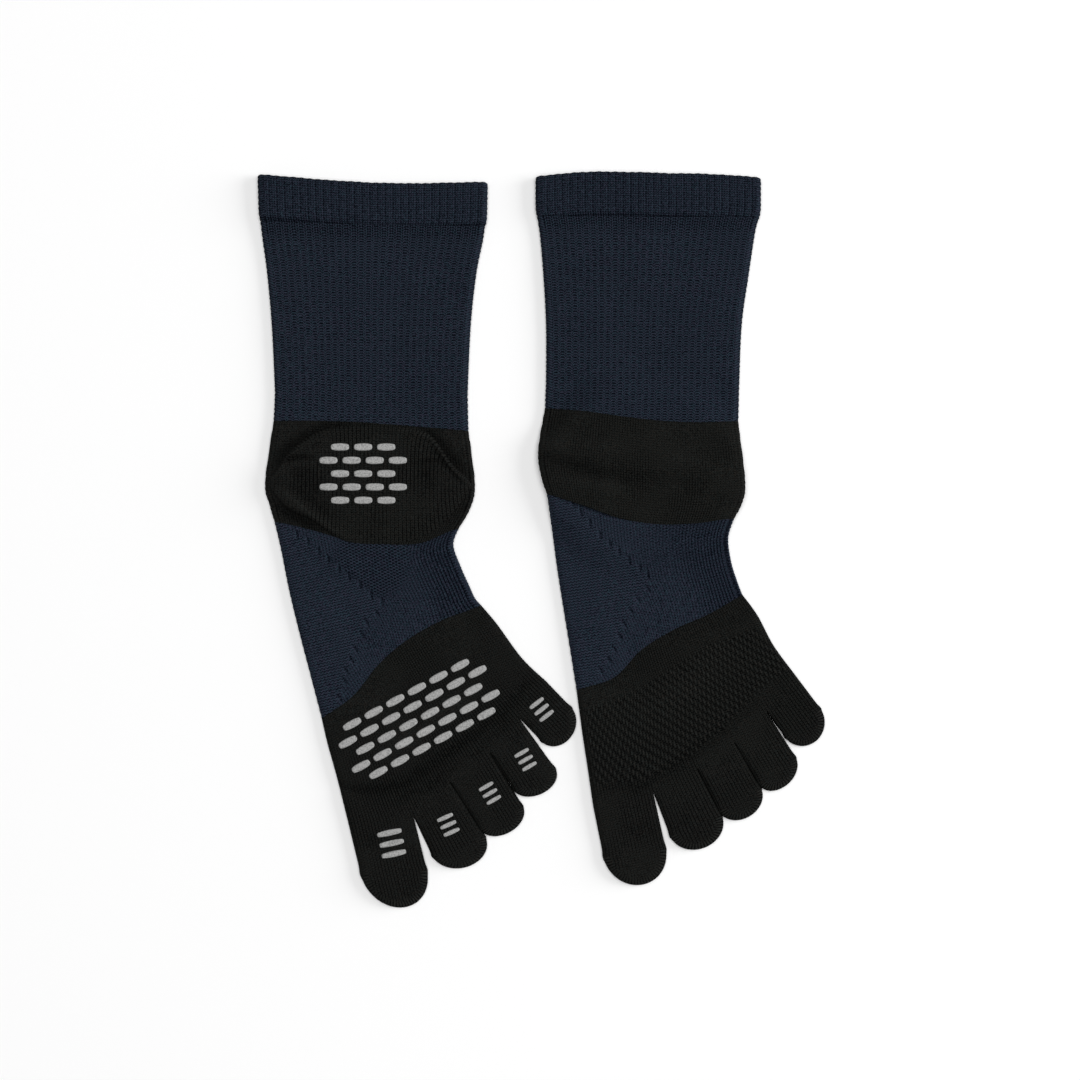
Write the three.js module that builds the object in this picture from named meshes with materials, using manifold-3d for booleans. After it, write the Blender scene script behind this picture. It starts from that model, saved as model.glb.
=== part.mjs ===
// A pair of crew-length toe socks, knitted in navy and black and laid flat side by side.
// Millimetres: +X runs to the right, +Y towards the cuffs and +Z up from the surface that the pair lies on.
// The sock on the left lies sole up with its heel pocket folded over on top, and the one on the right lies
// instep up with its heel pocket folded beneath it. Each sock is a hollow tube of knit, pressed flat, from its
// open cuff to five closed toe pockets.
import * as THREE from "three";
import { mergeVertices } from "three/addons/utils/BufferGeometryUtils.js";
import Module from "manifold-3d";

const wasm = await Module();
wasm.setup();

// The knit's sizes.
const CLOTH = 1.3; // one layer
const TURNED_CUFF = 2.0; // the cuff's wall, which is turned double
const SEAM_GAP = 0.3; // between two stretches of the knit
const SIDE_FOLD = 2.6; // how far a rounded side fold reaches in from the outline
const RIBS = 28; // ribs across one face of the cuff and the leg
const RIB_DEPTH = 0.4;

// The toe pockets' sizes.
const TOE_THICKNESS = 3.6;
const TOE_SLIT = 0.2; // each side of a toe stands this far inside the line that parts it from the next
const TOE_ROOT = 6; // how far a toe pocket runs back into the forefoot

// The folded heel pocket: an eye-shaped doubled flap between two corners.
const POCKET_REACH = 23.8; // from the line between its corners to the middle of either edge
const POCKET_POWER = 2.6; // how full the eye shape is
const POCKET_THICKNESS = 2.8; // two layers and the bend between them
const POCKET_HEM = 0.9; // its thickness where it runs out into the sole
const POCKET_DRAPE = 12; // how far from it the cloth that lies over it comes down again
const POCKET_CLEAR = 5; // how far past it that cloth stays level

const NAVY = 0x1d2330;
const BLACK = 0x161716;

// Numbers of steps.
const FACE_STEPS = 12; // across a face that has no ribs
const FOLD_STEPS = 3; // round a side fold
const TOE_STEPS = { upperSteps: 5, lowerSteps: 4, foldSteps: 2 };
const CAP_STEPS = 4;
const INSIDE_STEPS = { upperSteps: 12, lowerSteps: 12, foldSteps: 2 };
const INSIDE_TOE_STEPS = { upperSteps: 3, lowerSteps: 3, foldSteps: 1 };
const CAP_TURN = 0.42 * Math.PI; // how far a toe's end is rounded before its blunt tip
const POCKET_STEPS = 14;
const POCKET_BODY_STEPS = 5;

const rowsOf = (columns, rows) =>
  rows.map((row) => Object.fromEntries(columns.map((column, i) => [column, row[i]])));

// A section runs across the flat sock from its left outline to its right. Its four dips are how far the line
// bows towards the toes at 20, 40, 60 and 80% of the way across, and thick is the flat tube's height there.
const SECTION = ["at", "leftX", "leftY", "rightX", "rightY", "dip20", "dip40", "dip60", "dip80", "thick"];
const SOLE_UP_SECTIONS = rowsOf(SECTION, [
  ["mouth", -113.2, 145.8, -21.2, 142.8, 0.9, 1.6, 1.7, 1.0, 5.0],
  ["cuffEnd", -112.6, 127.0, -21.6, 125.2, 0.2, 0.3, 0.3, 0.2, 4.6],
  ["legTop", -112.0, 127.0, -22.4, 125.2, 0.2, 0.3, 0.3, 0.2, 4.2],
  ["underCuff", -111.2, 120.0, -23.2, 119.6, 0, 0, 0, 0, 3.5],
  ["upperLeg", -109.4, 106.4, -25.8, 106.4, 0, 0, 0, 0, 3.3],
  ["midLeg", -107.6, 86.4, -28.0, 86.4, 0, 0, 0, 0, 3.3],
  ["lowerLeg", -106.4, 62.0, -29.2, 60.8, -0.4, -0.6, -0.5, -0.2, 3.3],
  ["aboveHeel", -106.4, 55.6, -29.2, 53.0, -0.6, -0.9, -0.7, -0.4, 3.3],
  ["heelTop", -106.8, 47.6, -29.0, 43.6, -0.8, -1.2, -0.9, -0.5, 3.3],
  ["heelWide", -110.2, 23.2, -26.4, 22.4, 0.8, 1.4, 1.4, 0.8, 3.4],
  ["heelLow", -108.4, 14.0, -28.2, 12.8, 1.6, 3.6, 4.4, 2.4, 3.4],
  ["heelEnd", -106.4, 7.2, -33.0, 4.4, 2.6, 6.1, 7.2, 6.2, 3.4],
  ["waist", -103.8, -4.0, -35.0, -2.0, 1.6, 4.4, 5.6, 4.0, 3.3],
  ["arch", -100.8, -19.2, -32.0, -10.8, 0.6, 2.4, 3.4, 2.4, 3.2],
  ["lowArch", -97.0, -35.2, -28.6, -18.4, 0, 0.4, 0.4, 0.2, 3.2],
  ["archEnd", -92.4, -52.8, -26.4, -23.2, 0, -2.0, -3.0, -2.0, 3.2],
  ["forefootTop", -87.6, -71.2, -24.0, -26.0, -0.1, -4.4, -5.7, -4.0, 3.3],
  ["ball", -85.2, -81.6, -17.6, -33.6, 2.4, 0, -0.8, -1.0, 3.4],
  ["frontBall", -81.0, -96.0, -7.6, -47.2, 8.0, 6.4, 5.6, 3.0, 3.5],
  ["toeRoots", -77.6, -108.8, 2.0, -56.4, 16.4, 12.8, 11.2, 6.8, 3.5],
]);
const INSTEP_UP_SECTIONS = rowsOf(SECTION, [
  ["mouth", -2.2, 145.2, 87.8, 144.8, -1.6, -1.8, -1.3, -1.0, 5.0],
  ["cuffEnd", -2.2, 129.2, 87.8, 128.8, 0, 0, 0, 0, 4.6],
  ["legTop", -1.6, 129.2, 87.2, 128.8, 0, 0, 0, 0, 4.2],
  ["underCuff", -0.4, 121.6, 85.6, 123.2, 0, 0, 0, 0, 3.5],
  ["upperLeg", 1.0, 104.8, 82.8, 104.8, 0, 0, 0, 0, 3.3],
  ["midLeg", 2.0, 86.0, 80.2, 86.0, 0, 0, 0, 0, 3.3],
  ["lowerLeg", 2.0, 64.8, 79.2, 62.0, 0.1, 0.6, 0.9, 0.7, 3.3],
  ["aboveHeel", 1.8, 58.4, 79.0, 54.4, 0.2, 1.0, 1.4, 1.2, 3.3],
  ["heelTop", 1.6, 52.6, 78.8, 47.4, 0.2, 1.3, 2.0, 1.6, 3.3],
  ["heelWide", -1.2, 35.2, 81.4, 23.2, 0.8, 1.8, 2.4, 1.6, 3.4],
  ["heelLow", 0.2, 24.8, 80.2, 14.8, 1.4, 3.4, 3.6, 2.0, 3.4],
  ["heelEnd", 2.4, 18.2, 77.0, 8.4, 2.6, 5.7, 6.1, 3.8, 3.4],
  ["waist", 4.4, 4.0, 74.8, 0.8, 1.6, 3.8, 4.4, 2.6, 3.3],
  ["arch", 6.6, -12.4, 76.0, -8.8, 0.8, 2.2, 2.6, 1.6, 3.2],
  ["lowArch", 9.2, -28.8, 78.2, -16.0, 0.6, 0.8, 0.6, 0.4, 3.2],
  ["archEnd", 11.8, -44.8, 79.6, -19.8, 1.2, 0, -1.0, -0.4, 3.2],
  ["forefootTop", 14.2, -60.0, 80.4, -21.8, 3.0, -1.1, -1.6, 0, 3.3],
  ["ball", 16.8, -79.2, 86.4, -30.0, 3.2, 1.6, 0.8, 0.6, 3.4],
  ["frontBall", 19.2, -94.0, 93.2, -42.4, 6.0, 6.4, 5.6, 3.4, 3.5],
  ["toeRoots", 20.8, -104.0, 102.4, -54.8, 8.8, 10.0, 9.0, 5.4, 3.5],
]);

// A toe pocket runs from its root line to its end line, and a half ellipse of depth cap closes it.
const TOE = ["toe", "rootLX", "rootLY", "rootRX", "rootRY", "endLX", "endLY", "endRX", "endRY", "cap"];
const SOLE_UP_TOES = rowsOf(TOE, [
  ["big", -77.4, -111.2, -50.8, -110.8, -72.0, -133.6, -45.6, -131.6, 14.8],
  ["second", -50.8, -110.8, -36.4, -96.4, -43.4, -126.4, -22.6, -118.4, 9.2],
  ["third", -36.4, -96.4, -20.6, -84.4, -24.0, -115.6, -7.6, -106.4, 6.6],
  ["fourth", -20.6, -84.4, -9.0, -70.8, -10.4, -100.0, 5.6, -91.2, 6.4],
  ["little", -9.0, -70.8, 2.0, -56.4, 0.2, -80.4, 12.0, -66.8, 8.0],
]);
const INSTEP_UP_TOES = rowsOf(TOE, [
  ["big", 20.8, -106.0, 44.6, -100.4, 25.0, -126.8, 49.8, -123.2, 13.4],
  ["second", 44.8, -100.4, 62.2, -90.8, 51.6, -118.4, 72.0, -110.0, 9.6],
  ["third", 62.2, -90.8, 77.0, -80.4, 71.4, -108.4, 87.6, -99.2, 7.6],
  ["fourth", 77.0, -80.4, 89.8, -68.2, 87.3, -97.6, 101.6, -86.8, 6.8],
  ["little", 90.0, -68.4, 101.6, -54.0, 97.6, -78.8, 111.5, -67.2, 9.2],
]);

const SOLE_UP_POCKET = { left: [-109.2, 22.8], right: [-27.4, 21.6], beneath: false };
const INSTEP_UP_POCKET = { left: [1.4, 29.6], right: [79.2, 22.4], beneath: true };

const evenShares = (steps) => Array.from({ length: steps + 1 }, (_, i) => i / steps);

const smoothstep = (low, high, x) => {
  const t = Math.min(1, Math.max(0, (x - low) / (high - low)));
  return t * t * (3 - 2 * t);
};

// The Catmull-Rom value between b and c, t of the way.
const spline = (a, b, c, d, t) =>
  0.5 * (2 * b + (c - a) * t + (2 * a - 5 * b + 4 * c - d) * t * t + (3 * b - a - 3 * c + d) * t ** 3);

const splineThrough = (values, at) => {
  const i = Math.min(values.length - 2, Math.max(0, Math.floor(at)));
  const value = (k) => values[Math.min(values.length - 1, Math.max(0, k))];
  return spline(value(i - 1), value(i), value(i + 1), value(i + 2), at - i);
};

// The section at a fractional place in a list of sections.
const sectionAt = (sections, place) => {
  const column = (name) => splineThrough(sections.map((section) => section[name]), place);
  return {
    left: new THREE.Vector2(column("leftX"), column("leftY")),
    right: new THREE.Vector2(column("rightX"), column("rightY")),
    dips: [0, column("dip20"), column("dip40"), column("dip60"), column("dip80"), 0],
    thick: column("thick"),
  };
};

// The point a share of the way across a section, seen from above.
const across = (section, share) => {
  const span = section.right.clone().sub(section.left);
  const towardsToes = new THREE.Vector2(span.y, -span.x).normalize();
  const dip = splineThrough(section.dips, share * (section.dips.length - 1));
  return section.left.clone().addScaledVector(span, share).addScaledVector(towardsToes, dip);
};

// The ring of a flat tube at a section, as an upper and a lower half that both run from its left side to its
// right. It lies a wall's depth inside the cloth's outer face.
const ringAt = (section, { wall = 0, ribs = 0, upperSteps, lowerSteps, foldSteps }) => {
  const width = section.left.distanceTo(section.right);
  const half = section.thick / 2 - wall;
  const reach = Math.max(SIDE_FOLD - wall, half);
  const foldShare = (angle) => (wall + reach * (1 - Math.cos(angle))) / width;
  const faceStart = foldShare(Math.PI / 2);
  const folds = evenShares(foldSteps).slice(0, -1).map((step) => (step * Math.PI) / 2);
  const rib = (share) => (ribs ? (RIB_DEPTH / 2) * (1 - Math.cos(2 * Math.PI * ribs * share)) : 0);
  const halfRing = (side, steps) => {
    const point = (share, height) => {
      const p = across(section, share);
      return new THREE.Vector3(p.x, p.y, section.thick / 2 + side * height);
    };
    const face = evenShares(steps).map((share) =>
      point(faceStart + share * (1 - 2 * faceStart), half - (side > 0 ? rib(share) : 0)),
    );
    const leftFold = folds.map((angle) => point(foldShare(angle), half * Math.sin(angle)));
    const rightFold = folds.map((angle) => point(1 - foldShare(angle), half * Math.sin(angle)));
    return [...leftFold, ...face, ...rightFold.reverse()];
  };
  return { upper: halfRing(1, upperSteps), lower: halfRing(-1, lowerSteps) };
};

const turned = (triangles) => triangles.map(([a, b, c]) => [a, c, b]);

// The strip of triangles between two rows of points, with the shorter diagonal at each step.
const strip = (a, b) => {
  const triangles = [];
  let i = 0;
  let j = 0;
  while (i < a.length - 1 || j < b.length - 1) {
    const diagonalA = i < a.length - 1 ? a[i + 1].distanceTo(b[j]) : Infinity;
    const diagonalB = j < b.length - 1 ? a[i].distanceTo(b[j + 1]) : Infinity;
    if (diagonalA <= diagonalB) {
      triangles.push([a[i], b[j], a[i + 1]]);
      i++;
    } else {
      triangles.push([a[i], b[j], b[j + 1]]);
      j++;
    }
  }
  return triangles;
};

// The skin round a row of rings, facing outwards.
const skin = (rings) => {
  const loops = rings.map((ring) => [...ring.upper, ...ring.lower.slice(1, -1).reverse()]);
  return loops.slice(1).flatMap((to, k) => {
    const from = loops[k];
    return from.flatMap((p, i) => {
      const j = (i + 1) % from.length;
      return [[p, to[i], to[j]], [p, to[j], from[j]]];
    });
  });
};

const solidOf = (triangles) => {
  const same = (p, q) => p.distanceTo(q) < 1e-5;
  const whole = triangles.filter(([a, b, c]) => !same(a, b) && !same(b, c) && !same(c, a));
  const geometry = new THREE.BufferGeometry().setFromPoints(whole.flat());
  const merged = mergeVertices(geometry, 1e-4);
  const mesh = new wasm.Mesh({
    numProp: 3,
    vertProperties: merged.attributes.position.array,
    triVerts: new Uint32Array(merged.index.array),
  });
  return new wasm.Manifold(mesh);
};

// A closed solid through rings.
const loft = (rings) => {
  const first = rings[0];
  const last = rings[rings.length - 1];
  return solidOf([
    ...skin(rings),
    ...strip(first.lower, first.upper),
    ...strip(last.upper, last.lower),
  ]);
};

// A tube of cloth between outer and inner rings, open at both ends.
const tube = (outer, inner) => {
  const rim = (k) => [
    ...strip(outer.at(k).upper, inner.at(k).upper),
    ...turned(strip(outer.at(k).lower, inner.at(k).lower)),
  ];
  return solidOf([...skin(outer), ...turned(skin(inner)), ...turned(rim(0)), ...rim(-1)]);
};

// The rings again, with the first and the last moved outwards along the tube, or inwards by less than nothing.
const stretched = (rings, byFirst, byLast) => {
  const moved = (ring, next, by) => {
    const along = (half) =>
      ring[half].map((p, i) => p.clone().addScaledVector(p.clone().sub(next[half][i]).normalize(), by));
    return { upper: along("upper"), lower: along("lower") };
  };
  const first = moved(rings[0], rings[1], byFirst);
  const last = moved(rings.at(-1), rings.at(-2), byLast);
  return [first, ...rings.slice(1, -1), last];
};

// How far it is from a pocket's middle line to its edge, a share of the way between its corners.
const pocketEdge = (share) => POCKET_REACH * (1 - Math.abs(2 * share - 1) ** POCKET_POWER);

// How far a place lies inside the edge of a pocket.
const depthInPocket = (pocket, x, y) => {
  const left = new THREE.Vector2(...pocket.left);
  const span = new THREE.Vector2(...pocket.right).sub(left);
  const from = new THREE.Vector2(x, y).sub(left);
  const share = Math.min(1, Math.max(0, from.dot(span) / span.lengthSq()));
  return pocketEdge(share) - from.addScaledVector(span, -share).length();
};

// The rings again, lifted where a pocket lies beneath them.
const draped = (rings, pocket) => {
  if (!pocket.beneath) return rings;
  const lift = (p) => {
    const over = smoothstep(-POCKET_DRAPE, -POCKET_CLEAR, depthInPocket(pocket, p.x, p.y));
    return p.clone().setZ(p.z + (POCKET_THICKNESS + SEAM_GAP) * over);
  };
  return rings.map((ring) => ({ upper: ring.upper.map(lift), lower: ring.lower.map(lift) }));
};

// The rings of a sock's flat tube between two named sections.
const ringsBetween = (sock, from, to, stepsPerRow, options) => {
  const start = sock.sections.findIndex((section) => section.at === from);
  const end = sock.sections.findIndex((section) => section.at === to);
  const places = evenShares((end - start) * stepsPerRow).map((share) => share * (end - start));
  const list = sock.sections.slice(start, end + 1);
  return draped(places.map((place) => ringAt(sectionAt(list, place), options)), sock.pocket);
};

// One stretch of a sock's tube, as an open wall of cloth.
const stretchOf = (sock, { from, to, stepsPerRow, wall = CLOTH, ribs = 0 }) => {
  const upperSteps = ribs ? 2 * ribs : FACE_STEPS;
  const outside = { ribs, upperSteps, lowerSteps: FACE_STEPS, foldSteps: FOLD_STEPS };
  const outer = ringsBetween(sock, from, to, stepsPerRow, outside);
  const inner = ringsBetween(sock, from, to, stepsPerRow, { wall, ...INSIDE_STEPS });
  const [outerEnds, innerEnds] = [outer, inner].map((rings) => stretched(rings, -SEAM_GAP / 2, -SEAM_GAP / 2));
  return tube(outerEnds, innerEnds);
};

// A toe pocket's rings: back in the forefoot, along the toe, and round its closed end.
const toeRings = (toe, wall) => {
  const corner = (name) => new THREE.Vector2(toe[`${name}X`], toe[`${name}Y`]);
  const [rootL, rootR, endL, endR] = ["rootL", "rootR", "endL", "endR"].map(corner);
  const middle = (a, b) => a.clone().add(b).multiplyScalar(0.5);
  const centre = middle(endL, endR);
  const along = centre.clone().sub(middle(rootL, rootR)).normalize();
  const ring = (left, right) => {
    const slit = right.clone().sub(left).setLength(TOE_SLIT);
    const section = { left: left.clone().add(slit), right: right.clone().sub(slit), dips: [0, 0] };
    return ringAt({ ...section, thick: TOE_THICKNESS }, { wall, ...(wall ? INSIDE_TOE_STEPS : TOE_STEPS) });
  };
  const halfSpan = endR.clone().sub(endL).multiplyScalar(0.5);
  const capRing = (step) => {
    const angle = CAP_TURN * step;
    const place = centre.clone().addScaledVector(along, (toe.cap - wall) * Math.sin(angle));
    const half = halfSpan.clone().multiplyScalar(Math.cos(angle));
    return ring(place.clone().sub(half), place.clone().add(half));
  };
  const root = [rootL, rootR].map((p) => p.clone().addScaledVector(along, -TOE_ROOT));
  const halfway = [rootL.clone().lerp(endL, 0.5), rootR.clone().lerp(endR, 0.5)];
  return [ring(...root), ring(...halfway), ...evenShares(CAP_STEPS).map(capRing)];
};

// The forefoot with its five toe pockets, one hollow wall that is open only towards the arch.
const forefootOf = (sock) => {
  const rings = (options) => ringsBetween(sock, "forefootTop", "toeRoots", 2, options);
  const outer = rings({ upperSteps: FACE_STEPS, lowerSteps: FACE_STEPS, foldSteps: FOLD_STEPS });
  const hollow = rings({ wall: CLOTH, ...INSIDE_STEPS });
  const join = (first, solids) => solids.reduce((sum, solid) => sum.add(solid), first);
  const toes = (wall) => sock.toes.map((toe) => loft(toeRings(toe, wall)));
  const cloth = join(loft(stretched(outer, -SEAM_GAP / 2, 0)), toes(0));
  return cloth.subtract(join(loft(stretched(hollow, CLOTH, -CLOTH)), toes(CLOTH)));
};

// The heel pocket: two layers and the bend between them, full along its free edge and thin at its hem.
const pocketOf = ({ pocket, sections }) => {
  const left = new THREE.Vector2(...pocket.left);
  const span = new THREE.Vector2(...pocket.right).sub(left);
  const towardsCuff = new THREE.Vector2(-span.y, span.x).normalize();
  const heel = sections.find((section) => section.at === "heelWide");
  const floor = pocket.beneath ? 0 : heel.thick + SEAM_GAP;
  const ring = (share) => {
    const edge = pocketEdge(share);
    const thick = Math.min(POCKET_THICKNESS, POCKET_HEM + edge / 4);
    const bend = thick / 2;
    const point = (off, height) => {
      const p = left.clone().addScaledVector(span, share).addScaledVector(towardsCuff, off);
      return new THREE.Vector3(p.x, p.y, floor + height);
    };
    const body = evenShares(POCKET_BODY_STEPS).map((step) => {
      const off = -edge + step * (2 * edge - bend);
      return point(off, POCKET_HEM + (thick - POCKET_HEM) * smoothstep(-edge, 0, off));
    });
    const fold = evenShares(FOLD_STEPS).slice(1).map((step) => {
      const angle = (step * Math.PI) / 2;
      return point(edge - bend + bend * Math.sin(angle), bend * (1 + Math.cos(angle)));
    });
    const underFold = fold.slice(0, -1).map((p) => p.clone().setZ(2 * floor + thick - p.z));
    const under = body.map((p) => p.clone().setZ(floor));
    const upper = [...body, ...fold];
    return { upper: [under[0], ...upper], lower: [...under, ...underFold, upper.at(-1)] };
  };
  // The steps crowd towards the two corners, where the edge turns most.
  const shares = evenShares(POCKET_STEPS).map((step) => 0.5 - 0.49 * Math.cos(Math.PI * step));
  return loft(shares.map(ring));
};

const knit = (color) => new THREE.MeshStandardMaterial({ color, roughness: 0.95, metalness: 0 });

const meshOf = (name, solid, color) => {
  const { numProp, vertProperties, triVerts } = solid.getMesh();
  const positions = new Float32Array((vertProperties.length / numProp) * 3);
  for (let i = 0; i < positions.length / 3; i++) {
    positions.set(vertProperties.subarray(i * numProp, i * numProp + 3), i * 3);
  }
  const geometry = new THREE.BufferGeometry();
  geometry.setAttribute("position", new THREE.BufferAttribute(positions, 3));
  geometry.setIndex(new THREE.BufferAttribute(new Uint32Array(triVerts), 1));
  geometry.computeVertexNormals();
  const mesh = new THREE.Mesh(geometry, knit(color));
  mesh.name = name;
  return mesh;
};

const sockGroup = (sock) => {
  const group = new THREE.Group();
  const add = (piece, solid, color) => group.add(meshOf(`${sock.name}_${piece}`, solid, color));
  const stretch = (from, to, stepsPerRow, more = {}) => stretchOf(sock, { from, to, stepsPerRow, ...more });
  add("cuff", stretch("mouth", "cuffEnd", 2, { wall: TURNED_CUFF, ribs: RIBS }), NAVY);
  add("leg", stretch("legTop", "heelTop", 1, { ribs: RIBS }), NAVY);
  add("heel", stretch("heelTop", "heelEnd", 3), BLACK);
  add("heel_pocket", pocketOf(sock), BLACK);
  add("arch", stretch("heelEnd", "forefootTop", 1), NAVY);
  add("forefoot", forefootOf(sock), BLACK);
  return group;
};

const SOCKS = [
  { name: "sole_up", sections: SOLE_UP_SECTIONS, toes: SOLE_UP_TOES, pocket: SOLE_UP_POCKET },
  { name: "instep_up", sections: INSTEP_UP_SECTIONS, toes: INSTEP_UP_TOES, pocket: INSTEP_UP_POCKET },
];

const pair = new THREE.Group();
for (const sock of SOCKS) pair.add(sockGroup(sock));

export default pair;
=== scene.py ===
import math

import bmesh
import bpy
import numpy as np
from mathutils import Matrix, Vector
from mathutils.bvhtree import BVHTree


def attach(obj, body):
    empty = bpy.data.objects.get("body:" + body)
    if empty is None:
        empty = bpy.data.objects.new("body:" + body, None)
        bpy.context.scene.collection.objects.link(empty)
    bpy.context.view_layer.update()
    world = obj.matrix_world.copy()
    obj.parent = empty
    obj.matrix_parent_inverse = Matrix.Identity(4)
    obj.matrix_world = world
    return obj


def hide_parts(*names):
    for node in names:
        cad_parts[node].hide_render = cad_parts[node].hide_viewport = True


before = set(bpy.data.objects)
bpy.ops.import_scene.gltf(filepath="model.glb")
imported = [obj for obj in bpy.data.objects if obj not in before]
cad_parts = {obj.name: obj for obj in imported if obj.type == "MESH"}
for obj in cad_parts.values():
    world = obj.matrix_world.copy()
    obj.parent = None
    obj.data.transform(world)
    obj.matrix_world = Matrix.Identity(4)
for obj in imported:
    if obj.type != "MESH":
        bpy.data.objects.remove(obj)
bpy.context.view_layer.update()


# Cuffs. Each is a ribbed welt of navy cotton yarn, knitted double the height and turned in on itself, so its
# wall is two layers thick. It is the sock's open end.
# Lengths in tables are millimetres. A sock is a flat pressed tube. Each row of a table is a line across it,
# from its left side fold to its right one, with how far it bows towards the toes at 20, 40, 60 and 80% of the
# way across, and the tube's height there.
MM = 0.001
TAU = 2 * math.pi
SIDE_FOLD = 2.6  # how far in across the tube a side fold is rounded
FOLD_ROUND = 3.0  # how much cloth goes round a side fold
FACE_WIDTH = 92  # the width over which a face's columns of stitches are counted
LOOP_DEPTH = 0.09
LOOP_LENGTH = 2.08
WALE = 1.3  # from one column of plain stitches to the next
RIBS = 28
RIB_PITCH = 3.29  # at the mouth
WALL = 1.0
CUFF_WALL = 1.5
CUFF_COURSE = 0.92  # from one row of its stitches to the next
GATHERED_AND_SHADED_END = (15.6, 17.2)  # how far down the cuff its turned end is darkened: gathered stitches and painted shade
MOUTH_ROUNDING = 1.6
END_ROUNDING = 5.0
CUFF_LINES = {
    "sole_up": [
        # left x, left y, right x, right y, four bows, height
        (-113.2, 145.8, -21.2, 142.8, 0.9, 1.6, 1.7, 1, 5),
        (-112.6, 127, -21.6, 125.2, 0.2, 0.3, 0.3, 0.2, 4.6),
    ],
    "instep_up": [
        (-2.2, 145.2, 87.8, 144.8, -1.6, -1.8, -1.3, -1, 5),
        (-2.2, 129.2, 87.8, 128.8, 0, 0, 0, 0, 4.6),
    ],
}


def catmull_rom(a, b, c, d, t):
    """From b to c as t goes from 0 to 1, with a before them and d after them."""
    return 0.5 * (2 * b + (c - a) * t + (2 * a - 5 * b + 4 * c - d) * t**2 + (3 * b - a - 3 * c + d) * t**3)


def through(values, place):
    """Smooth values of a table's columns at fractional places down it."""
    values = np.asarray(values, float)
    last = len(values) - 1
    i = np.clip(np.floor(place).astype(int), 0, last - 1)
    return catmull_rom(*(values[np.clip(i + k, 0, last)] for k in (-1, 0, 1, 2)), (place - i)[:, None])


def smooth(low, high, x):
    """0 at low and 1 at high, with an even curve between."""
    t = np.clip((x - low) / (high - low), 0, 1)
    return t * t * (3 - 2 * t)


def across(table, share):
    """Points a share of the way along lines, one row of the table for each point, and the lines' lengths."""
    left, span = table[:, 0:2], table[:, 2:4] - table[:, 0:2]
    bows = np.pad(table[:, 4:8], ((0, 0), (1, 1)))
    i = np.clip(np.floor(share * 5).astype(int), 0, 4)
    near = (np.take_along_axis(bows, np.clip(i + k, 0, 5)[:, None], 1)[:, 0] for k in (-1, 0, 1, 2))
    bow = catmull_rom(*near, share * 5 - i)
    width = np.linalg.norm(span, axis=1)
    towards_toes = np.stack([span[:, 1], -span[:, 0]], 1) / width[:, None]
    return left + span * share[:, None] + towards_toes * bow[:, None], width


def roundness(depth):
    """How full a rounded edge is, at a depth in from it that is a share of its reach."""
    return np.sqrt(np.maximum(0, 1 - (1 - np.clip(depth, 0, 1)) ** 2))


def waver(x, y, size, seed):
    """A slow unevenness from -1 to 1, with humps of about that size in millimetres."""
    total = np.zeros_like(x)
    for k in range(4):
        angle = seed * 1.7 + k * 1.1
        along = (x * math.cos(angle) + y * math.sin(angle)) * (TAU / size) / (1 + 0.37 * k)
        total += np.sin(along + seed * 3.1 + k * 2.3)
    return total / 4


def run_down(x, y, column, row):
    """How far down its own column each point of a grid lies, in millimetres."""
    order = np.lexsort((row, column))
    rows = int(row.max()) + 1
    along_x, along_y = x[order].reshape(-1, rows), y[order].reshape(-1, rows)
    down = np.zeros_like(along_x)
    down[:, 1:] = np.cumsum(np.hypot(np.diff(along_x, axis=1), np.diff(along_y, axis=1)), axis=1)
    result = np.empty_like(x)
    result[order] = down.ravel()
    return result


def read(items, key, width=1, kind=float):
    """A mesh's numbers, one for each item, or that many rows of them."""
    values = np.zeros(len(items) * width, kind)
    items.foreach_get(key, values)
    return values.reshape(-1, width).T if width > 1 else values


def grid_mesh(columns, rows):
    """A grid as a mesh, with each point's column and row. Its rows count down it, towards the toes."""
    grid = bmesh.new()
    bmesh.ops.create_grid(grid, x_segments=columns, y_segments=rows, size=1)
    mesh = bpy.data.meshes.new("grid")
    grid.to_mesh(mesh)
    grid.free()
    x, y = read(mesh.vertices, "co", 3)[:2]
    return mesh, np.rint((x + 1) / 2 * columns), np.rint((1 - y) / 2 * rows)


def set_map(mesh, label, pair):
    """Gives the corners of a mesh's faces a UV map."""
    layer = mesh.uv_layers.get(label) or mesh.uv_layers.new(name=label)
    layer.uv.foreach_set("vector", np.stack(pair, 1).astype(np.float32).ravel())


def lay_points(mesh, points, maps):
    """Moves a mesh's points to x, y and z in millimetres, and gives it UV maps."""
    mesh.vertices.foreach_set("co", (np.stack(points, 1) * MM).astype(np.float32).ravel())
    corner = read(mesh.loops, "vertex_index", kind=int)
    for label, (u, v) in maps.items():
        set_map(mesh, label, (u[corner], v[corner]))
    mesh.update()


def piece_from(shape, name, finish):
    """One smooth piece from a shape that bmesh holds."""
    mesh = bpy.data.meshes.new(name)
    shape.to_mesh(mesh)
    shape.free()
    mesh.polygons.foreach_set("use_smooth", np.ones(len(mesh.polygons), bool))
    mesh.materials.append(finish)
    piece = bpy.data.objects.new(name, mesh)
    bpy.context.scene.collection.objects.link(piece)
    return piece


def cloth(name, meshes, finish, wall=WALL):
    """One piece of cloth from meshes of its outer face, with a wall of that thickness in millimetres."""
    joined = bmesh.new()
    for mesh in meshes:
        joined.from_mesh(mesh)
    bmesh.ops.remove_doubles(joined, verts=joined.verts, dist=0.004 * MM)
    bmesh.ops.dissolve_degenerate(joined, edges=joined.edges, dist=0.001 * MM)
    piece = piece_from(joined, name, finish)
    if wall:
        layer = piece.modifiers.new("Wall", "SOLIDIFY")
        layer.thickness = wall * MM
        layer.offset = -1
    return piece


def points_of(piece):
    """A piece's x, y and z in millimetres."""
    return read(piece.data.vertices, "co", 3) / MM


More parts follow.
